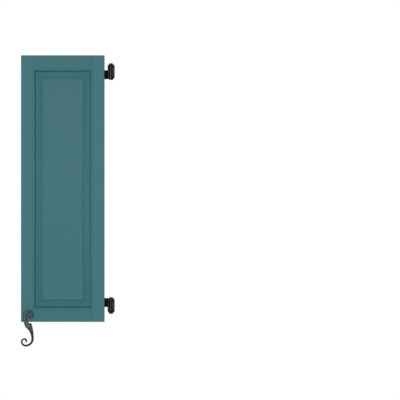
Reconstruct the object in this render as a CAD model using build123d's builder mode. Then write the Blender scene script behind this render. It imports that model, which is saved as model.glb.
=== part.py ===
from build123d import *
import os

os.makedirs("parts", exist_ok=True)

# Raised panel shutter: one wooden leaf on two strap hinges, hung on plate pintles, with an S-scroll
# holdback on a lag post. Millimetres, +Z up, +X towards the window, +Y into the wall.
# The origin is the centre of the lower pintle plate's back, on the wall plane y = 0.
# The leaf is modelled open, flat against the wall, and the upper pintle is inverted to lock it on.

# Leaf
leaf_width = 381.0
leaf_height = 1219.2
leaf_thick = 35.0
stile_width = 67.0
top_rail_width = 76.2
bottom_rail_width = 70.5
edge_ease = 1.0

# Sticking: the step, fillet and ovolo worked on every inner edge of the frame, on both faces
sticking_width = 12.5
quirk_depth = 1.8
ovolo_radius = 9.5
groove_width = 9.5
groove_depth = 12.0
cope_gap = 0.15

# Tenons of the rails in the stiles
tenon_length = 45.0
haunch_width = 22.0
tenon_gap = 0.1

# Raised panel
panel_float = 2.0
tongue_gap = 0.25
panel_lip = 4.6
bevel_width = 27.0
bevel_sag = 0.9
field_drop = 3.0
field_shoulder = 1.5

# Place of the leaf on its pins
pin_standoff = 57.0
leaf_gap = 27.8
hinge_inset = 87.0
seat_gap = 0.3
lift_gap = 1.5

# Strap hinges on the back of the hinge stile
strap_height = 41.0
strap_reach = 46.0
strap_thick = 3.6
strap_clip = 9.0
eye_bore_radius = 4.85
eye_seam = 0.8
strap_hole_radius = 2.4
strap_hole_x = 24.0
strap_hole_z = 23.0

# Pintles: plate, gusseted arm with its knuckle, and pin
plate_width = 33.0
plate_height = 78.0
plate_thick = 4.0
plate_tip = 12.0
plate_drop = 12.0
plate_offset = 16.0
plate_bevel = 1.0
plate_hole_radius = 2.75
plate_hole_x = 19.0
plate_hole_z = 46.0
arm_thick = 9.0
arm_foot_drop = 33.0
arm_foot_rise = 22.0
arm_clear = 13.0
arm_arch = 8.0
arm_scoop = 9.0
knuckle_radius = 7.75
knuckle_height = 26.5
knuckle_chamfer = 3.5
pin_radius = 4.75
pin_depth = 20.0
pin_rise = 2.0
pin_chamfer = 1.5
press_gap = 0.02

# Holdback
dog_inset = 33.7
dog_drop = 18.5
dog_gap = 5.0
dog_thick = 9.5
pad_reach = 15.3
pad_lean = 24.0
pad_shift = 2.3
pad_round = 3.0
tip_round = 2.7
bevel_face = 2.0
bevel_depth = 1.2
lag_radius = 4.75
lag_length = 60.0
lag_point = 9.0
post_radius = 6.0
collar_radius = 9.0
collar_thick = 5.0
journal_radius = 5.0
journal_gap = 0.08
washer_radius = 8.2
washer_thick = 1.6
washer_gap = 0.1
dog_play = 0.2
nut_across = 17.0
nut_thick = 7.0
nut_crown = 3.0
nut_cover = 2.5

# Edges of the scroll as tangent arcs, each from a corner of its pad to a tip: the heading at the corner,
# then each arc's radius in reaches of the pad and its turn in degrees
upper_outer = (116.5, [(7.60, 26.5), (1.76, 90), (1.38, 90), (1.05, 90), (0.76, 90), (0.66, 35)])
upper_inner = (157.5, [(2.83, 67.5), (1.01, 90), (0.73, 90), (0.51, 90), (0.31, 90), (0.20, 35)])
lower_outer = (-74.0, [(15.1, 16), (2.35, 90), (1.47, 90), (1.05, 90), (0.80, 90), (0.68, 55)])
lower_inner = (-36.0, [(4.20, 54), (1.75, 90), (0.93, 90), (0.56, 90), (0.32, 90), (0.21, 55)])

# Places that follow from the sizes above
half_thick = leaf_thick / 2
eye_radius = eye_bore_radius + strap_thick
strap_back = eye_radius - pin_standoff
leaf_back = strap_back - strap_thick
leaf_mid = leaf_back - half_thick
leaf_front = leaf_back - leaf_thick
hinge_edge = -leaf_gap
free_edge = hinge_edge - leaf_width
leaf_axis = hinge_edge - leaf_width / 2
leaf_bottom = plate_offset - hinge_inset
leaf_top = leaf_bottom + leaf_height
leaf_centre = leaf_bottom + leaf_height / 2
strap_bottom = plate_offset - strap_height / 2
strap_top = strap_bottom + strap_height
knuckle_top = strap_bottom - seat_gap
knuckle_bottom = knuckle_top - knuckle_height
pintle_centre = leaf_centre + (lift_gap - seat_gap) / 2
groove_half = groove_width / 2
stile_flat = stile_width - sticking_width
opening_width = leaf_width - 2 * stile_width
opening_height = leaf_height - top_rail_width - bottom_rail_width
opening_centre = leaf_bottom + bottom_rail_width + opening_height / 2
tenon_thick = groove_width - 2 * tenon_gap


def member_section(plane, wide, groove, gap):
    # Section of a frame member: outer edge at local x = 0, sticking and groove at x = wide.
    # The gap swells the ovolo alone, for the cope that fits over it.
    flat = wide - sticking_width
    brow = wide - ovolo_radius
    foot = half_thick - quirk_depth - ovolo_radius
    round_radius = ovolo_radius + gap
    with BuildSketch(plane) as section:
        with BuildLine():
            Polyline(
                (0, 0),
                (0, half_thick),
                (flat, half_thick),
                (flat, foot + round_radius),
                (brow, foot + round_radius),
            )
            ovolo = CenterArc((brow, foot), round_radius, 90, -90)
            if groove:
                Polyline(
                    ovolo @ 1,
                    (wide, groove_half),
                    (wide - groove_depth, groove_half),
                    (wide - groove_depth, 0),
                )
            else:
                Polyline(ovolo @ 1, (wide, foot), (wide, 0))
            mirror(about=Plane.XZ)
        make_face()
    return section.sketch


def panel_section(plane, opening):
    # Section of the panel across one opening: tongue, lip, hollow bevel, shoulder and field.
    tongue_half = groove_half - tongue_gap
    tip = opening / 2 + groove_depth - panel_float
    bevel_foot = opening / 2 - panel_lip
    field_edge = bevel_foot - bevel_width
    field_half = half_thick - field_drop
    bevel_top = field_half - field_shoulder
    middle = ((bevel_foot + field_edge) / 2, (tongue_half + bevel_top) / 2 - bevel_sag)
    with BuildSketch(plane) as section:
        with BuildLine():
            field = Polyline((0, field_half), (field_edge, field_half), (field_edge, bevel_top))
            bevel = ThreePointArc(field @ 1, middle, (bevel_foot, tongue_half))
            Polyline(bevel @ 1, (tip, tongue_half), (tip, 0))
            mirror(about=Plane.XZ)
            mirror(about=Plane.YZ)
        make_face()
    return section.sketch


# Hinge stile: full height, grooved for the panel, with a mortise for each rail
stile_foot = Plane((hinge_edge, leaf_mid, leaf_bottom), x_dir=(-1, 0, 0), z_dir=(0, 0, 1))
top_tenon_height = top_rail_width - haunch_width - groove_depth
bottom_tenon_height = bottom_rail_width - haunch_width - groove_depth
top_tenon_z = leaf_top - haunch_width - top_tenon_height / 2
bottom_tenon_z = leaf_bottom + haunch_width + bottom_tenon_height / 2
mortise_depth = tenon_length + tenon_gap
mortise_x = hinge_edge - stile_width + mortise_depth / 2
with BuildPart() as hinge_stile:
    extrude(member_section(stile_foot, stile_width, True, 0), amount=leaf_height)
    with Locations((mortise_x, leaf_mid, top_tenon_z)):
        Box(mortise_depth, groove_width, top_tenon_height + 2 * tenon_gap, mode=Mode.SUBTRACT)
    with Locations((mortise_x, leaf_mid, bottom_tenon_z)):
        Box(mortise_depth, groove_width, bottom_tenon_height + 2 * tenon_gap, mode=Mode.SUBTRACT)
    outer_face = hinge_stile.faces().sort_by(Axis.X)[-1]
    chamfer(outer_face.edges().filter_by(Axis.Z), edge_ease)

# Free stile: the hinge stile the other hand
with BuildPart() as free_stile:
    mirror(hinge_stile.part, about=Plane.YZ.offset(leaf_axis))

# Rails: sticking and groove on the inner edge, coped over the stiles, with haunched tenons
rail_reach = leaf_width / 2 - stile_flat
rail_shoulder = leaf_width / 2 - stile_width
cope_foot = Plane((leaf_axis + leaf_width / 2, leaf_mid, leaf_bottom), x_dir=(-1, 0, 0), z_dir=(0, 0, 1))
with BuildPart() as cope:
    extrude(member_section(cope_foot, stile_width, False, cope_gap), amount=leaf_height)
    mirror(about=Plane.YZ.offset(leaf_axis))

top_edge = Plane((leaf_axis - rail_reach, leaf_mid, leaf_top), x_dir=(0, 0, -1), z_dir=(1, 0, 0))
with BuildPart() as top_rail:
    extrude(member_section(top_edge, top_rail_width, True, 0), amount=2 * rail_reach)
    add(cope.part, mode=Mode.SUBTRACT)
    with Locations((leaf_axis, leaf_mid, top_tenon_z)):
        Box(2 * (rail_shoulder + tenon_length), tenon_thick, top_tenon_height)
    with Locations((leaf_axis, leaf_mid, leaf_top)):
        Box(
            2 * (rail_shoulder + groove_depth - tenon_gap),
            tenon_thick,
            haunch_width,
            align=(Align.CENTER, Align.CENTER, Align.MAX),
        )
    chamfer(top_rail.faces().sort_by(Axis.Z)[-1].edges().filter_by(Axis.X).sort_by(Axis.Y)[0], edge_ease)
    chamfer(top_rail.faces().sort_by(Axis.Z)[-1].edges().filter_by(Axis.X).sort_by(Axis.Y)[-1], edge_ease)

bottom_edge = Plane((leaf_axis - rail_reach, leaf_mid, leaf_bottom), x_dir=(0, 0, 1), z_dir=(1, 0, 0))
with BuildPart() as bottom_rail:
    extrude(member_section(bottom_edge, bottom_rail_width, True, 0), amount=2 * rail_reach)
    add(cope.part, mode=Mode.SUBTRACT)
    with Locations((leaf_axis, leaf_mid, bottom_tenon_z)):
        Box(2 * (rail_shoulder + tenon_length), tenon_thick, bottom_tenon_height)
    with Locations((leaf_axis, leaf_mid, leaf_bottom)):
        Box(
            2 * (rail_shoulder + groove_depth - tenon_gap),
            tenon_thick,
            haunch_width,
            align=(Align.CENTER, Align.CENTER, Align.MIN),
        )
    chamfer(bottom_rail.faces().sort_by(Axis.Z)[0].edges().filter_by(Axis.X).sort_by(Axis.Y)[0], edge_ease)
    chamfer(bottom_rail.faces().sort_by(Axis.Z)[0].edges().filter_by(Axis.X).sort_by(Axis.Y)[-1], edge_ease)

# Raised panel: one board raised on both faces, its four bevels mitred, floating in the grooves
panel_across = Plane((leaf_axis, leaf_mid, opening_centre))
panel_upright = Plane((leaf_axis, leaf_mid, opening_centre), x_dir=(0, 0, 1), z_dir=(1, 0, 0))
tongue_reach = groove_depth - panel_float
with BuildPart() as raised_panel:
    extrude(panel_section(panel_across, opening_width), amount=opening_height / 2 + tongue_reach, both=True)
    extrude(
        panel_section(panel_upright, opening_height),
        amount=opening_width / 2 + tongue_reach,
        both=True,
        mode=Mode.INTERSECT,
    )

# Lower strap hinge: an eye rolled round the pin and closed on the strap, which is screwed to the stile's back
strap_foot = Plane((0, -pin_standoff, strap_bottom))
strap_tip = hinge_edge - strap_reach
strap_face = Plane((hinge_edge - strap_reach / 2, strap_back, plate_offset), x_dir=(1, 0, 0), z_dir=(0, 1, 0))
with BuildPart() as lower_strap_hinge:
    with BuildSketch(strap_foot):
        Circle(eye_radius)
        with Locations((0, eye_radius)):
            Rectangle(-strap_tip, strap_thick, align=(Align.MAX, Align.MAX))
        with Locations((0, eye_bore_radius)):
            Rectangle(eye_radius, eye_seam, align=(Align.MAX, Align.MAX), mode=Mode.SUBTRACT)
    extrude(amount=strap_height)
    chamfer(lower_strap_hinge.faces().sort_by(Axis.X)[0].edges().filter_by(Axis.Y), strap_clip)
    with Locations(strap_foot):
        Hole(eye_bore_radius)
    with Locations(strap_face):
        with GridLocations(strap_hole_x, strap_hole_z, 2, 2):
            Hole(strap_hole_radius)

# Upper strap hinge
with BuildPart() as upper_strap_hinge:
    mirror(lower_strap_hinge.part, about=Plane.XY.offset(leaf_centre))

# Lower pintle plate: pointed ends, bevelled edges, four screw holes
plate_face = Plane((0, -plate_thick, 0), x_dir=(1, 0, 0), z_dir=(0, -1, 0))
plate_shoulder = plate_height / 2 - plate_drop
with BuildPart() as lower_pintle_plate:
    with BuildSketch(plate_face):
        with BuildLine():
            Polyline(
                (0, plate_height / 2),
                (plate_tip / 2, plate_height / 2),
                (plate_width / 2, plate_shoulder),
                (plate_width / 2, -plate_shoulder),
                (plate_tip / 2, -plate_height / 2),
                (0, -plate_height / 2),
            )
            mirror(about=Plane.YZ)
        make_face()
    extrude(amount=-plate_thick)
    chamfer(lower_pintle_plate.faces().sort_by(Axis.Y)[0].edges(), plate_bevel)
    with Locations(plate_face):
        with GridLocations(plate_hole_x, plate_hole_z, 2, 2):
            Hole(plate_hole_radius)

# Lower pintle arm: a forged gusset that carries the knuckle, bored for the pin
arm_side = Plane((0, 0, 0), x_dir=(0, 1, 0), z_dir=(1, 0, 0))
arm_shelf = arm_clear + knuckle_radius - pin_standoff
arm_nose = knuckle_bottom + knuckle_chamfer
scoop_middle = ((arm_shelf - plate_thick) / 2 + arm_scoop / 2, (arm_foot_rise + knuckle_top) / 2 - arm_scoop)
arch_middle = (-(pin_standoff + plate_thick) / 2, (arm_nose - arm_foot_drop) / 2 + arm_arch)
with BuildPart() as lower_pintle_arm:
    with BuildSketch(arm_side):
        with BuildLine():
            foot = Line((-plate_thick, -arm_foot_drop), (-plate_thick, arm_foot_rise))
            scoop = ThreePointArc(foot @ 1, scoop_middle, (arm_shelf, knuckle_top))
            nose = Polyline(scoop @ 1, (-pin_standoff, knuckle_top), (-pin_standoff, arm_nose))
            ThreePointArc(nose @ 1, arch_middle, foot @ 0)
        make_face()
    extrude(amount=arm_thick / 2, both=True)
    with BuildSketch(Plane((0, -pin_standoff, knuckle_bottom))):
        Circle(knuckle_radius)
    extrude(amount=knuckle_height)
    chamfer(lower_pintle_arm.faces().sort_by(Axis.Z)[0].edges(), knuckle_chamfer)
    with Locations(Plane((0, -pin_standoff, knuckle_top))):
        Hole(pin_radius + press_gap, pin_depth)

# Lower pintle pin: pressed into the knuckle, its point past the eye
pin_foot = knuckle_top - pin_depth
with BuildPart() as lower_pintle_pin:
    with BuildSketch(Plane((0, -pin_standoff, pin_foot))):
        Circle(pin_radius)
    extrude(amount=strap_top + pin_rise - pin_foot)
    chamfer(lower_pintle_pin.faces().sort_by(Axis.Z)[-1].edges(), pin_chamfer)

# Upper pintle: the same pieces inverted, so that the leaf can't be lifted off
with BuildPart() as upper_pintle_plate:
    mirror(lower_pintle_plate.part, about=Plane.XY.offset(pintle_centre))

with BuildPart() as upper_pintle_arm:
    mirror(lower_pintle_arm.part, about=Plane.XY.offset(pintle_centre))

with BuildPart() as upper_pintle_pin:
    mirror(lower_pintle_pin.part, about=Plane.XY.offset(pintle_centre))

# Holdback stations, from the leaf's face outwards
post_x = free_edge + dog_inset
post_z = leaf_bottom - dog_drop
dog_back = leaf_front - dog_gap
dog_front = dog_back - dog_thick
collar_front = dog_back + dog_play
cover_back = dog_front - dog_play
nut_back = cover_back - washer_thick
journal_end = nut_back - nut_thick + nut_cover

# Holdback post: lag into the wall, shank under the leaf, collar and the journal of the scroll
post_profile = Plane((post_x, 0, post_z), x_dir=(1, 0, 0), z_dir=(0, 0, 1))
with BuildPart() as holdback_post:
    with BuildSketch(post_profile):
        with BuildLine():
            Polyline(
                (0, lag_length),
                (lag_radius, lag_length - lag_point),
                (lag_radius, 0),
                (post_radius, 0),
                (post_radius, collar_front + collar_thick),
                (collar_radius, collar_front + collar_thick),
                (collar_radius, collar_front),
                (journal_radius, collar_front),
                (journal_radius, journal_end),
                (0, journal_end),
                close=True,
            )
        make_face()
    revolve(axis=Axis((post_x, 0, post_z), (0, 1, 0)))

# Washer between the scroll and its nut
washer_face = Plane((post_x, cover_back, post_z), x_dir=(1, 0, 0), z_dir=(0, -1, 0))
with BuildPart() as holdback_washer:
    with BuildSketch(washer_face):
        Circle(washer_radius)
        Circle(journal_radius + washer_gap, mode=Mode.SUBTRACT)
    extrude(amount=washer_thick)

# Forged nut: square with a hammered crown, set corner to corner with the pad
nut_face = Plane((post_x, nut_back, post_z), x_dir=(1, 0, 0), z_dir=(0, -1, 0))
nut_turn = pad_lean + 45
with BuildPart() as holdback_nut:
    with BuildSketch(nut_face):
        Rectangle(nut_across, nut_across, rotation=nut_turn)
    extrude(amount=nut_thick)
    chamfer(holdback_nut.faces().sort_by(Axis.Y)[0].edges(), nut_crown, nut_crown * 1.5)
    with BuildSketch(nut_face):
        Circle(journal_radius + press_gap)
    extrude(amount=nut_thick - nut_cover, mode=Mode.SUBTRACT)

# S-scroll: a forged bar spread to a pad round the journal and drawn out to two curled tips
dog_face = Plane((post_x, dog_back, post_z), x_dir=(1, 0, 0), z_dir=(0, -1, 0))
pad_centre = Vector(pad_shift, 0)
with BuildPart() as holdback_scroll:
    with BuildSketch(dog_face) as outline:
        with BuildLine():
            for outer, inner, corner in (
                (upper_outer, upper_inner, pad_lean + 180),
                (lower_outer, lower_inner, pad_lean),
            ):
                ends = []
                for (heading, arcs), bearing in ((outer, corner), (inner, corner + 180)):
                    spot = pad_centre + Vector(pad_reach, 0).rotate(Axis.Z, bearing)
                    course = Vector(1, 0).rotate(Axis.Z, heading)
                    for radius, turn in arcs:
                        arc = JernArc(spot, course, radius * pad_reach, -turn)
                        spot = arc @ 1
                        course = arc % 1
                    ends.append(spot)
                Line(ends[0], ends[1])
        make_face()
        fillet(outline.edges().filter_by(GeomType.LINE).vertices(), tip_round)
        fillet(outline.vertices().sort_by_distance(pad_centre)[:2], pad_round)
    extrude(amount=dog_thick)
    front = holdback_scroll.faces().sort_by(Axis.Y)[0]
    chamfer(front.edges(), bevel_face, bevel_depth, reference=front)
    with Locations(dog_face):
        Hole(journal_radius + journal_gap)

pieces = {
    "hinge_stile": hinge_stile,
    "free_stile": free_stile,
    "top_rail": top_rail,
    "bottom_rail": bottom_rail,
    "raised_panel": raised_panel,
    "lower_strap_hinge": lower_strap_hinge,
    "upper_strap_hinge": upper_strap_hinge,
    "lower_pintle_plate": lower_pintle_plate,
    "lower_pintle_arm": lower_pintle_arm,
    "lower_pintle_pin": lower_pintle_pin,
    "upper_pintle_plate": upper_pintle_plate,
    "upper_pintle_arm": upper_pintle_arm,
    "upper_pintle_pin": upper_pintle_pin,
    "holdback_post": holdback_post,
    "holdback_washer": holdback_washer,
    "holdback_nut": holdback_nut,
    "holdback_scroll": holdback_scroll,
}
for name, piece in pieces.items():
    piece.part.label = name
    export_step(piece.part, f"parts/{name}.step")
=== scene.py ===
import math

import bpy
from mathutils import Matrix, Vector


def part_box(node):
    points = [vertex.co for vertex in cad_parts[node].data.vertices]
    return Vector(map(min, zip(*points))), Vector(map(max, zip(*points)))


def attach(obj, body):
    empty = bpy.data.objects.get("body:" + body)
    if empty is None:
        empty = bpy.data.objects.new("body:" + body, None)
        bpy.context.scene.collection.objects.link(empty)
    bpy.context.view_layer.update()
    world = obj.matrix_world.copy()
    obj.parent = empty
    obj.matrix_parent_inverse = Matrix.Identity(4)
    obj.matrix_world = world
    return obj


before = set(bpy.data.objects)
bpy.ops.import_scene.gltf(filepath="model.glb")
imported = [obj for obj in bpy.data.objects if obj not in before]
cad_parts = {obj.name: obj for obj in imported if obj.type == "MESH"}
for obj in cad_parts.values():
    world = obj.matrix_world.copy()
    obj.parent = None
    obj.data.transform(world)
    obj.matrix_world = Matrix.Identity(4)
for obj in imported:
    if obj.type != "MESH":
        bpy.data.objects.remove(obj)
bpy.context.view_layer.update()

# Camera
# The photograph looks straight at the wall through a long lens. Its 400 pixels span 1829 mm of wall,
# and its middle lies to the right of the leaf, so the leaf keeps its place near the left edge.
wall_span = 1.8288
view_centre_x = 0.4097
view_centre_z = 0.4865
lens_mm = 200.0
sensor_mm = 36.0
clip_far = 60.0
leaf_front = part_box("free_stile")[0].y
camera_distance = wall_span * lens_mm / sensor_mm
camera_data = bpy.data.cameras.new("photo_camera")
camera_data.lens = lens_mm
camera_data.sensor_width = sensor_mm
camera_data.clip_end = clip_far
camera = bpy.data.objects.new("photo_camera", camera_data)
camera.location = (view_centre_x, leaf_front - camera_distance, view_centre_z)
camera.rotation_euler = (math.pi / 2, 0.0, 0.0)
bpy.context.collection.objects.link(camera)
bpy.context.scene.camera = camera

# Stiles of the leaf
# Upright members of painted wood, 67 mm wide, with the ovolo worked on their inner edges. The satin
# teal paint is brushed along them, so its faint streaks and the grain under it run upright.
paint_teal = (0.0315, 0.161, 0.179)
paint_deep = (0.0275, 0.153, 0.171)
paint_gloss = 0.22
streaks_along = 1.0
streaks_across = 42.0
grain_along = 2.2
grain_across = 150.0
arris = 0.0006
weld_reach = 0.00001
sharp_angle = math.radians(32)


class Signal:
    """A value in a finish's shader. Arithmetic on it adds the Math nodes."""

    def __init__(self, finish, socket):
        self.finish = finish
        self.socket = socket

    def math(self, operation, other):
        return self.finish.node("ShaderNodeMath", {"operation": operation}, {0: self, 1: other})

    def __add__(self, other):
        return self.math("ADD", other)

    __radd__ = __add__

    def __mul__(self, other):
        return self.math("MULTIPLY", other)

    __rmul__ = __mul__


class Finish:
    """The nodes of a material or a world: one method adds any node and returns its output."""

    def __init__(self, owner):
        self.owner = owner
        self.owner.use_nodes = True
        self.owner.node_tree.nodes.clear()

    def node(self, kind, settings=None, inputs=None, output=0):
        made = self.owner.node_tree.nodes.new(kind)
        for name, value in (settings or {}).items():
            if name == "stops":
                ramp = made.color_ramp
                while len(ramp.elements) < len(value):
                    ramp.elements.new(0.5)
                for element, (position, colour) in zip(ramp.elements, value):
                    element.position = position
                    element.color = colour
            else:
                setattr(made, name, value)
        for name, value in (inputs or {}).items():
            if isinstance(value, Signal):
                self.owner.node_tree.links.new(value.socket, made.inputs[name])
            else:
                made.inputs[name].default_value = value
        return Signal(self, made.outputs[output]) if made.outputs else None

    def coordinate(self, kind):
        return self.node("ShaderNodeTexCoord", output=kind)

    def stretched(self, vector, scale):
        return self.node("ShaderNodeMapping", inputs={"Vector": vector, "Scale": scale})

    def noise(self, vector, scale, detail):
        return self.node("ShaderNodeTexNoise", inputs={"Vector": vector, "Scale": scale, "Detail": detail})

    def ramp(self, value, *stops):
        grey = [(position, (level, level, level, 1.0)) for position, level in stops]
        return self.node("ShaderNodeValToRGB", {"stops": grey}, {"Fac": value})

    def blend(self, factor, low, high):
        # 6 and 7 are the Mix node's two colours, and 2 is its colour output.
        settings = {"data_type": "RGBA"}
        return self.node("ShaderNodeMix", settings, {"Factor": factor, 6: low, 7: high}, output=2)

    def bump(self, height, strength, distance, under=None):
        inputs = {"Height": height, "Strength": strength, "Distance": distance}
        if under is not None:
            inputs["Normal"] = under
        return self.node("ShaderNodeBump", inputs=inputs)

    def surface(self, colour, roughness, normal, **fixed):
        inputs = {"Base Color": colour, "Roughness": roughness, "Normal": normal}
        inputs.update({name.replace("_", " "): value for name, value in fixed.items()})
        shader = self.node("ShaderNodeBsdfPrincipled", inputs=inputs)
        self.node("ShaderNodeOutputMaterial", inputs={"Surface": shader})
        return self.owner


def paint_finish(name, along, painted_shade_factor):
    # Streaks are long along the brushing and fine across it. A shade factor below one darkens the same teal
    # paint as painted shade.
    deep, teal = [(*[painted_shade_factor * part for part in colour], 1.0) for colour in (paint_deep, paint_teal)]
    streak_scale = tuple(streaks_along if axis == along else streaks_across for axis in "XYZ")
    grain_scale = tuple(grain_along if axis == along else grain_across for axis in "XYZ")
    finish = Finish(bpy.data.materials.new(name))
    point = finish.coordinate("Object")
    streaks = finish.noise(finish.stretched(point, streak_scale), 6.0, detail=4.0)
    grain = finish.noise(finish.stretched(point, grain_scale), 5.0, detail=2.0)
    clouds = finish.noise(point, 5.5, detail=2.0)
    tone = finish.ramp(0.55 * streaks + 0.45 * clouds, (0.32, 0.0), (0.68, 1.0))
    colour = finish.blend(tone, deep, teal)
    roughness = 0.40 + 0.10 * streaks + 0.05 * clouds
    normal = finish.bump(streaks, 0.10, 0.0006)
    normal = finish.bump(grain, 0.10, 0.0003, under=normal)
    return finish.surface(colour, roughness, normal, Specular_IOR_Level=paint_gloss)


def dress(node_name, material, edge_width=0.0):
    # The CAD solid keeps its shape. Where an edge width is given, its sharp arrises are eased, as wear
    # and finishing leave them.
    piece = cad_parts[node_name]
    piece.data.materials.clear()
    piece.data.materials.append(material)
    if not edge_width:
        return
    weld = piece.modifiers.new("weld", "WELD")
    weld.merge_threshold = weld_reach
    ease = piece.modifiers.new("ease", "BEVEL")
    ease.width = edge_width
    ease.segments = 2
    ease.limit_method = "ANGLE"
    ease.angle_limit = sharp_angle
    ease.harden_normals = True


stile_paint = paint_finish("stile_paint", along="Z", painted_shade_factor=1.0)
for name in ("hinge_stile", "free_stile"):
    dress(name, stile_paint, arris)

# Rails of the leaf
# Cross members of painted wood, coped over the stiles' moulding and tenoned into the stiles. They are
# brushed level, so that the joint lines just show.
# The rails' paint is darkened to 0.93 of the stiles' as painted shade.
rail_paint = paint_finish("rail_paint", along="X", painted_shade_factor=0.93)
for name in ("top_rail", "bottom_rail"):
    dress(name, rail_paint, arris)

# Raised panel
# One board of painted wood with a hollow bevel round a flat field on both faces. It is brushed
# upright and floats in the frame's grooves.
# The panel's paint is darkened to 0.96 of the stiles' as painted shade.
panel_paint = paint_finish("panel_paint", along="Z", painted_shade_factor=0.96)
dress("raised_panel", panel_paint, arris)

# Strap hinges
# Wrought steel straps, matt black, with a rolled eye that its pin keeps polished. Four slotted
# round-head screws hold each to the back of the hinge stile.
iron_gloss = 0.04
coat_roughness = 0.24
barrel_shine = 0.34


def iron_finish(name, hammer_scale, hammer_depth, base, light, polish=0.0, matt=0.60, rub_and_highlight=None):
    # Black over forged iron: soft hammer facets, greyer in random patches, and lighter where the rub mask
    # says, which stands for wear and for painted highlight; under a thin oiled coat where polish is above
    # nought.
    finish = Finish(bpy.data.materials.new(name))
    point = finish.coordinate("Object")
    facets = finish.node(
        "ShaderNodeTexVoronoi",
        {"feature": "SMOOTH_F1"},
        {"Vector": point, "Scale": hammer_scale, "Smoothness": 0.6},
    )
    dust = finish.noise(point, 900.0, detail=2.0)
    bloom = finish.noise(point, 70.0, detail=3.0)
    wear_and_highlight = finish.ramp(0.2 * facets + 0.8 * bloom, (0.28, 0.0), (0.68, 1.0))
    if rub_and_highlight is not None:
        wear_and_highlight = rub_and_highlight(finish, wear_and_highlight)
    colour = finish.blend(wear_and_highlight, (*base, 1.0), (*light, 1.0))
    roughness = matt + 0.16 * bloom
    normal = finish.bump(facets, 0.55, hammer_depth)
    normal = finish.bump(dust, 0.12, 0.0001, under=normal)
    weight = polish(finish) if callable(polish) else polish
    return finish.surface(
        colour,
        roughness,
        normal,
        Specular_IOR_Level=iron_gloss,
        Coat_Weight=weight,
        Coat_Roughness=coat_roughness,
    )


def front_mask(finish, start, end):
    # Rises from nought to one as the surface turns to the front, which is -Y.
    normal = finish.coordinate("Normal")
    toward_wall = finish.node("ShaderNodeSeparateXYZ", inputs={"Vector": normal}, output="Y")
    return finish.ramp(-1.0 * toward_wall, (start, 0.0), (end, 1.0))


def barrel_polish(finish):
    # The coat lies on the front of the hinge's barrel, its eye and its knuckle. Towards the leaf it
    # fades out between 8 and 12 mm from the pin's axis.
    side = finish.node("ShaderNodeSeparateXYZ", inputs={"Vector": finish.coordinate("Object")}, output="X")
    near = finish.ramp(side * 10.0 + 0.5, (0.38, 0.0), (0.42, 1.0))
    return barrel_shine * near * front_mask(finish, 0.84, 0.95)


strap_iron = iron_finish(
    "strap_iron",
    hammer_scale=110.0,
    hammer_depth=0.0005,
    base=(0.0014, 0.0018, 0.0022),
    light=(0.006, 0.0065, 0.007),
    polish=barrel_polish,
)
for name in ("upper_strap_hinge", "lower_strap_hinge"):
    dress(name, strap_iron)

head_radius = 0.0042
head_rise = 0.0023
head_sides = 28
head_ease = 0.0002
head_sharp_angle = math.radians(40)
shank_radius = 0.0022
slot_width = 0.0011
slot_depth = 0.0012
slot_turn_first = 20.0
slot_turn_step = 47.0
smooth_angle = math.radians(35)


def make_screw(shank):
    # A dome cut from a sphere, with a shank drawn out of its foot and a slot sawn across it.
    bpy.ops.object.select_all(action="DESELECT")
    bpy.ops.mesh.primitive_uv_sphere_add(
        segments=head_sides, ring_count=head_sides // 2, radius=head_radius, location=(0, 0, 0)
    )
    screw = bpy.context.active_object
    bpy.ops.object.mode_set(mode="EDIT")
    bpy.ops.mesh.select_all(action="SELECT")
    bpy.ops.mesh.bisect(plane_co=(0, 0, 0), plane_no=(0, 0, 1), use_fill=True, clear_inner=True)
    bpy.ops.mesh.select_all(action="SELECT")
    bpy.ops.transform.resize(value=(1.0, 1.0, head_rise / head_radius))
    bpy.ops.object.mode_set(mode="OBJECT")
    for face in screw.data.polygons:
        face.select = face.normal.z < -0.9
    for edge in screw.data.edges:
        edge.select = False
    for vertex in screw.data.vertices:
        vertex.select = False
    bpy.ops.object.mode_set(mode="EDIT")
    bpy.ops.mesh.select_mode(type="FACE")
    bpy.ops.mesh.inset(thickness=head_radius - shank_radius)
    bpy.ops.mesh.extrude_region_move(TRANSFORM_OT_translate={"value": (0, 0, -shank)})
    bpy.ops.object.mode_set(mode="OBJECT")
    bpy.ops.mesh.primitive_cube_add(size=1.0, location=(0, 0, head_rise))
    saw = bpy.context.active_object
    bpy.ops.transform.resize(value=(3 * head_radius, slot_width, 2 * slot_depth))
    bpy.ops.object.select_all(action="DESELECT")
    screw.select_set(True)
    bpy.context.view_layer.objects.active = screw
    cut = screw.modifiers.new("slot", "BOOLEAN")
    cut.operation = "DIFFERENCE"
    cut.solver = "EXACT"
    cut.object = saw
    bpy.ops.object.modifier_apply(modifier=cut.name)
    bpy.data.objects.remove(saw, do_unlink=True)
    ease = screw.modifiers.new("ease", "BEVEL")
    ease.width = head_ease
    ease.segments = 1
    ease.limit_method = "ANGLE"
    ease.angle_limit = head_sharp_angle
    bpy.ops.object.modifier_apply(modifier=ease.name)
    bpy.ops.object.shade_smooth_by_angle(angle=smooth_angle)
    return screw


def hole_corners(middle_x, node_low, node_high, reach_x, reach_z):
    # The four holes lie round the middle of the node's height, from the top left to the bottom right.
    middle_z = (node_low.z + node_high.z) / 2
    return [(middle_x + reach_x * i, middle_z + reach_z * k) for k in (1, -1) for i in (-1, 1)]


def drive_screws(pattern, stem, face_y, outward, places, body, material):
    # Each copy has its own mesh, and its slot stops at a turn of its own.
    stand = Vector((0, outward, 0)).to_track_quat("Z", "X").to_matrix().to_4x4()
    for number, (x, z) in enumerate(places, start=1):
        screw = bpy.data.objects.new(f"{stem}_{number}", pattern.data.copy())
        bpy.context.collection.objects.link(screw)
        stop = math.radians(slot_turn_step * number + slot_turn_first)
        screw.data.transform(Matrix.Translation((x, face_y, z)) @ stand @ Matrix.Rotation(stop, 4, "Z"))
        screw.data.materials.clear()
        screw.data.materials.append(material)
        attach(screw, body)


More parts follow.
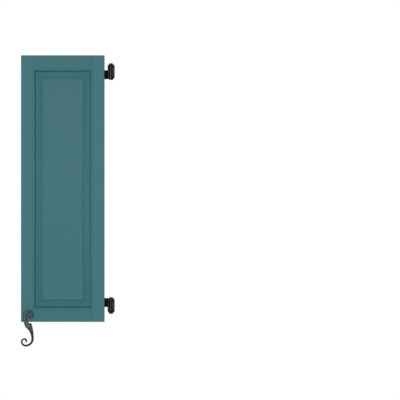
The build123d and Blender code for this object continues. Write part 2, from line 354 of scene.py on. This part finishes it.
strap_thickness = 0.0036
strap_middle_x = -0.0508
strap_hole_x = 0.012
strap_hole_z = 0.0115
shank_gap = 0.0001
stile_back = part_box("hinge_stile")[1].y
strap_back = stile_back + strap_thickness
screw_iron = iron_finish(
    "screw_iron",
    hammer_scale=260.0,
    hammer_depth=0.0002,
    base=(0.006, 0.006, 0.006),
    light=(0.030, 0.030, 0.029),
    polish=0.15,
)
strap_screw = make_screw(strap_back - stile_back - shank_gap)
for stem, node in (("lower_strap_screw", "lower_strap_hinge"), ("upper_strap_screw", "upper_strap_hinge")):
    low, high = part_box(node)
    corners = hole_corners(strap_middle_x, low, high, strap_hole_x, strap_hole_z)
    drive_screws(strap_screw, stem, strap_back, 1.0, corners, "shutter_leaf", screw_iron)
bpy.data.objects.remove(strap_screw, do_unlink=True)

# Pintles
# Pointed iron plates and gusseted arms with a turned pin in the knuckle. The plates are coloured a lighter
# grey than the arms, as painted light for the light that they catch. Four round-head screws fix each plate
# to the wall.
# The plates' grey is painted light: the same iron as the arms, coloured lighter.
plate_iron_painted_light = iron_finish(
    "plate_iron_painted_light",
    hammer_scale=120.0,
    hammer_depth=0.0005,
    base=(0.058, 0.058, 0.053),
    light=(0.118, 0.116, 0.104),
    polish=0.05,
)
for name in ("upper_pintle_plate", "lower_pintle_plate"):
    dress(name, plate_iron_painted_light)
arm_iron = iron_finish(
    "arm_iron",
    hammer_scale=120.0,
    hammer_depth=0.0005,
    base=(0.003, 0.003, 0.003),
    light=(0.010, 0.0105, 0.011),
    polish=barrel_polish,
)
for name in ("upper_pintle_arm", "lower_pintle_arm"):
    dress(name, arm_iron, edge_width=0.0004)
pin_steel = iron_finish(
    "pin_steel",
    hammer_scale=300.0,
    hammer_depth=0.0001,
    base=(0.010, 0.010, 0.010),
    light=(0.06, 0.06, 0.062),
    polish=0.4,
)
for name in ("upper_pintle_pin", "lower_pintle_pin"):
    dress(name, pin_steel, edge_width=0.0002)

plate_middle_x = 0.0
plate_hole_x = 0.0095
plate_hole_z = 0.023
plate_shank = 0.0036
plate_screw = make_screw(plate_shank)
for stem, node in (("lower_plate_screw", "lower_pintle_plate"), ("upper_plate_screw", "upper_pintle_plate")):
    low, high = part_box(node)
    corners = hole_corners(plate_middle_x, low, high, plate_hole_x, plate_hole_z)
    drive_screws(plate_screw, stem, low.y, -1.0, corners, "wall_hardware", screw_iron)
bpy.data.objects.remove(plate_screw, do_unlink=True)

# Holdback
# A forged S-scroll on a lag post, under a square crowned nut, and the lag has a coarse wood thread. The
# scroll's flat front is coloured blue-grey, most round the pad: partly wear from hammer and hand, partly
# painted highlight. The nut is coloured a lighter blue-grey all over as painted highlight.
rubbed_roughness = 0.42
rub_and_highlight_centre = (-0.383, -0.100, -0.058)


def scroll_wear_and_highlight(finish, wear_and_highlight):
    # The flat front, which faces the lamps, turns lighter, most of all round the place where a hand turns
    # the scroll: partly wear, partly painted highlight. The slopes and sides keep their black.
    flat = front_mask(finish, 0.88, 0.97)
    inputs = {0: finish.coordinate("Object"), 1: rub_and_highlight_centre}
    reach = finish.node("ShaderNodeVectorMath", {"operation": "DISTANCE"}, inputs, output="Value")
    near = finish.ramp(10.0 * reach, (0.26, 1.0), (0.66, 0.0))
    return flat * (0.10 + 0.66 * near) * (0.50 + 0.50 * wear_and_highlight)


# The light blue-grey on the scroll's front is partly wear and partly painted highlight.
scroll_iron = iron_finish(
    "scroll_iron",
    hammer_scale=150.0,
    hammer_depth=0.0006,
    base=(0.014, 0.0155, 0.017),
    light=(0.150, 0.178, 0.208),
    polish=0.08,
    matt=rubbed_roughness,
    rub_and_highlight=scroll_wear_and_highlight,
)
dress("holdback_scroll", scroll_iron, edge_width=0.0006)
# The nut's lighter blue-grey colour, all over, is a painted highlight.
nut_iron_painted_highlight = iron_finish(
    "nut_iron_painted_highlight",
    hammer_scale=220.0,
    hammer_depth=0.0004,
    base=(0.055, 0.065, 0.080),
    light=(0.135, 0.158, 0.192),
    polish=0.08,
    matt=rubbed_roughness,
)
dress("holdback_nut", nut_iron_painted_highlight, edge_width=0.0005)
post_iron = iron_finish(
    "post_iron",
    hammer_scale=160.0,
    hammer_depth=0.0003,
    base=(0.012, 0.0125, 0.013),
    light=(0.045, 0.047, 0.050),
    polish=0.1,
)
for name in ("holdback_post", "holdback_washer"):
    dress(name, post_iron, edge_width=0.0003)

lag_low, lag_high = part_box("holdback_post")
lag_x = (lag_low.x + lag_high.x) / 2
lag_z = (lag_low.z + lag_high.z) / 2
lag_radius = 0.00475
ridge_radius = 0.0009
ridge_squeeze = 0.85
ridge_lift = 0.0001
thread_pitch = 0.0028
thread_turns = 15
thread_sides = 28
thread_start = 0.006
quarter_turn = math.radians(90.0)
bpy.ops.object.select_all(action="DESELECT")
bpy.ops.mesh.primitive_circle_add(vertices=3, radius=ridge_radius, fill_type="NOTHING", location=(0, 0, 0))
lag_thread = bpy.context.active_object
lag_thread.name = "holdback_lag_thread"
bpy.ops.object.mode_set(mode="EDIT")
bpy.ops.mesh.select_all(action="SELECT")
bpy.ops.transform.resize(value=(ridge_squeeze, 1.0, 1.0))
bpy.ops.object.mode_set(mode="OBJECT")
lag_thread.data.transform(Matrix.Rotation(quarter_turn, 4, "X") @ Matrix.Rotation(-quarter_turn, 4, "Z"))
lag_thread.data.transform(Matrix.Translation((lag_radius + ridge_lift, 0, 0)))
wind = lag_thread.modifiers.new("wind", "SCREW")
wind.axis = "Z"
wind.angle = 2 * math.pi * thread_turns
wind.screw_offset = thread_pitch * thread_turns
wind.steps = thread_sides * thread_turns
wind.render_steps = thread_sides * thread_turns
bpy.ops.object.modifier_apply(modifier=wind.name)
lag_thread.data.transform(Matrix.Rotation(-quarter_turn, 4, "X"))
lag_thread.data.transform(Matrix.Translation((lag_x, thread_start, lag_z)))
bpy.ops.object.mode_set(mode="EDIT")
bpy.ops.mesh.select_mode(type="EDGE")
bpy.ops.mesh.select_all(action="DESELECT")
bpy.ops.mesh.select_non_manifold()
bpy.ops.mesh.fill()
bpy.ops.mesh.select_all(action="SELECT")
bpy.ops.mesh.normals_make_consistent(inside=False)
bpy.ops.object.mode_set(mode="OBJECT")
bpy.ops.object.shade_smooth_by_angle(angle=smooth_angle)
lag_thread.data.materials.append(post_iron)
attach(lag_thread, "wall_hardware")

# Light, floor and background
# Two large soft lights near the camera's line, a weak one far on the left and one behind, and a pale
# floor below the straight view. The background is white to the camera and to gloss, dim to the rest.
floor_place = (-0.2, -1.2, -1.0)
floor_size = (3.2, 2.6, 1.0)
floor_shade = (0.82, 0.82, 0.81, 1.0)
floor_light = (0.86, 0.86, 0.85, 1.0)
pale_glow = (0.42, 0.42, 0.415, 1.0)
floor_roughness = 0.8
no_glow = (0.0, 0.0, 0.0, 1.0)
white = (1.0, 1.0, 1.0, 1.0)
fill_level = 0.30
leaf_middle = (-0.2, -0.08, 0.5)
bpy.ops.object.select_all(action="DESELECT")
bpy.ops.mesh.primitive_plane_add(size=1.0, location=floor_place)
floor = bpy.context.active_object
floor.name = "studio_floor"
floor.scale = floor_size
bpy.ops.object.transform_apply(location=True, rotation=True, scale=True)
floor_finish = Finish(bpy.data.materials.new("floor_pale"))
floor_tone = floor_finish.noise(floor_finish.coordinate("Object"), 3.0, detail=3.0)
floor_colour = floor_finish.blend(floor_tone, floor_shade, floor_light)
floor_grain = floor_finish.bump(floor_tone, 0.05, 0.001)
floor_seen = floor_finish.node("ShaderNodeLightPath", output="Is Camera Ray")
floor_glow = floor_finish.blend(floor_seen, no_glow, pale_glow)
floor_finish.surface(
    floor_colour, floor_roughness, floor_grain, Emission_Color=floor_glow, Emission_Strength=1.0
)
floor.data.materials.append(floor_finish.owner)


def soft_light(name, place, size, power):
    lamp_data = bpy.data.lights.new(name, "AREA")
    lamp_data.shape = "SQUARE"
    lamp_data.size = size
    lamp_data.energy = power
    lamp = bpy.data.objects.new(name, lamp_data)
    lamp.location = place
    lamp.rotation_euler = (Vector(leaf_middle) - Vector(place)).to_track_quat("-Z", "Y").to_euler()
    bpy.context.collection.objects.link(lamp)
    return lamp


soft_light("key", place=(-1.7, -9.0, 1.6), size=2.6, power=220.0)
soft_light("fill", place=(1.3, -9.0, 0.4), size=2.6, power=205.0)
soft_light("side", place=(-4.6, -2.6, 0.9), size=1.2, power=10.0)
back_light = soft_light("back", place=(-1.5, 6.0, 3.4), size=3.2, power=260.0)
# It would glare in the leaf's edges when they are seen aslant.
back_light.visible_glossy = False

world = bpy.data.worlds.new("studio")
bpy.context.scene.world = world
sky = Finish(world)
straight = sky.node("ShaderNodeLightPath", output="Is Camera Ray")
mirrored = sky.node("ShaderNodeLightPath", output="Is Glossy Ray")
through = sky.node("ShaderNodeLightPath", output="Is Transmission Ray")
seen = straight.math("MAXIMUM", mirrored.math("MAXIMUM", through))
level = sky.node("ShaderNodeMapRange", inputs={"Value": seen, "To Min": fill_level, "To Max": 1.0})
background = sky.node("ShaderNodeBackground", inputs={"Color": white, "Strength": level})
sky.node("ShaderNodeOutputWorld", inputs={"Surface": background})
bpy.context.scene.view_settings.view_transform = "Standard"
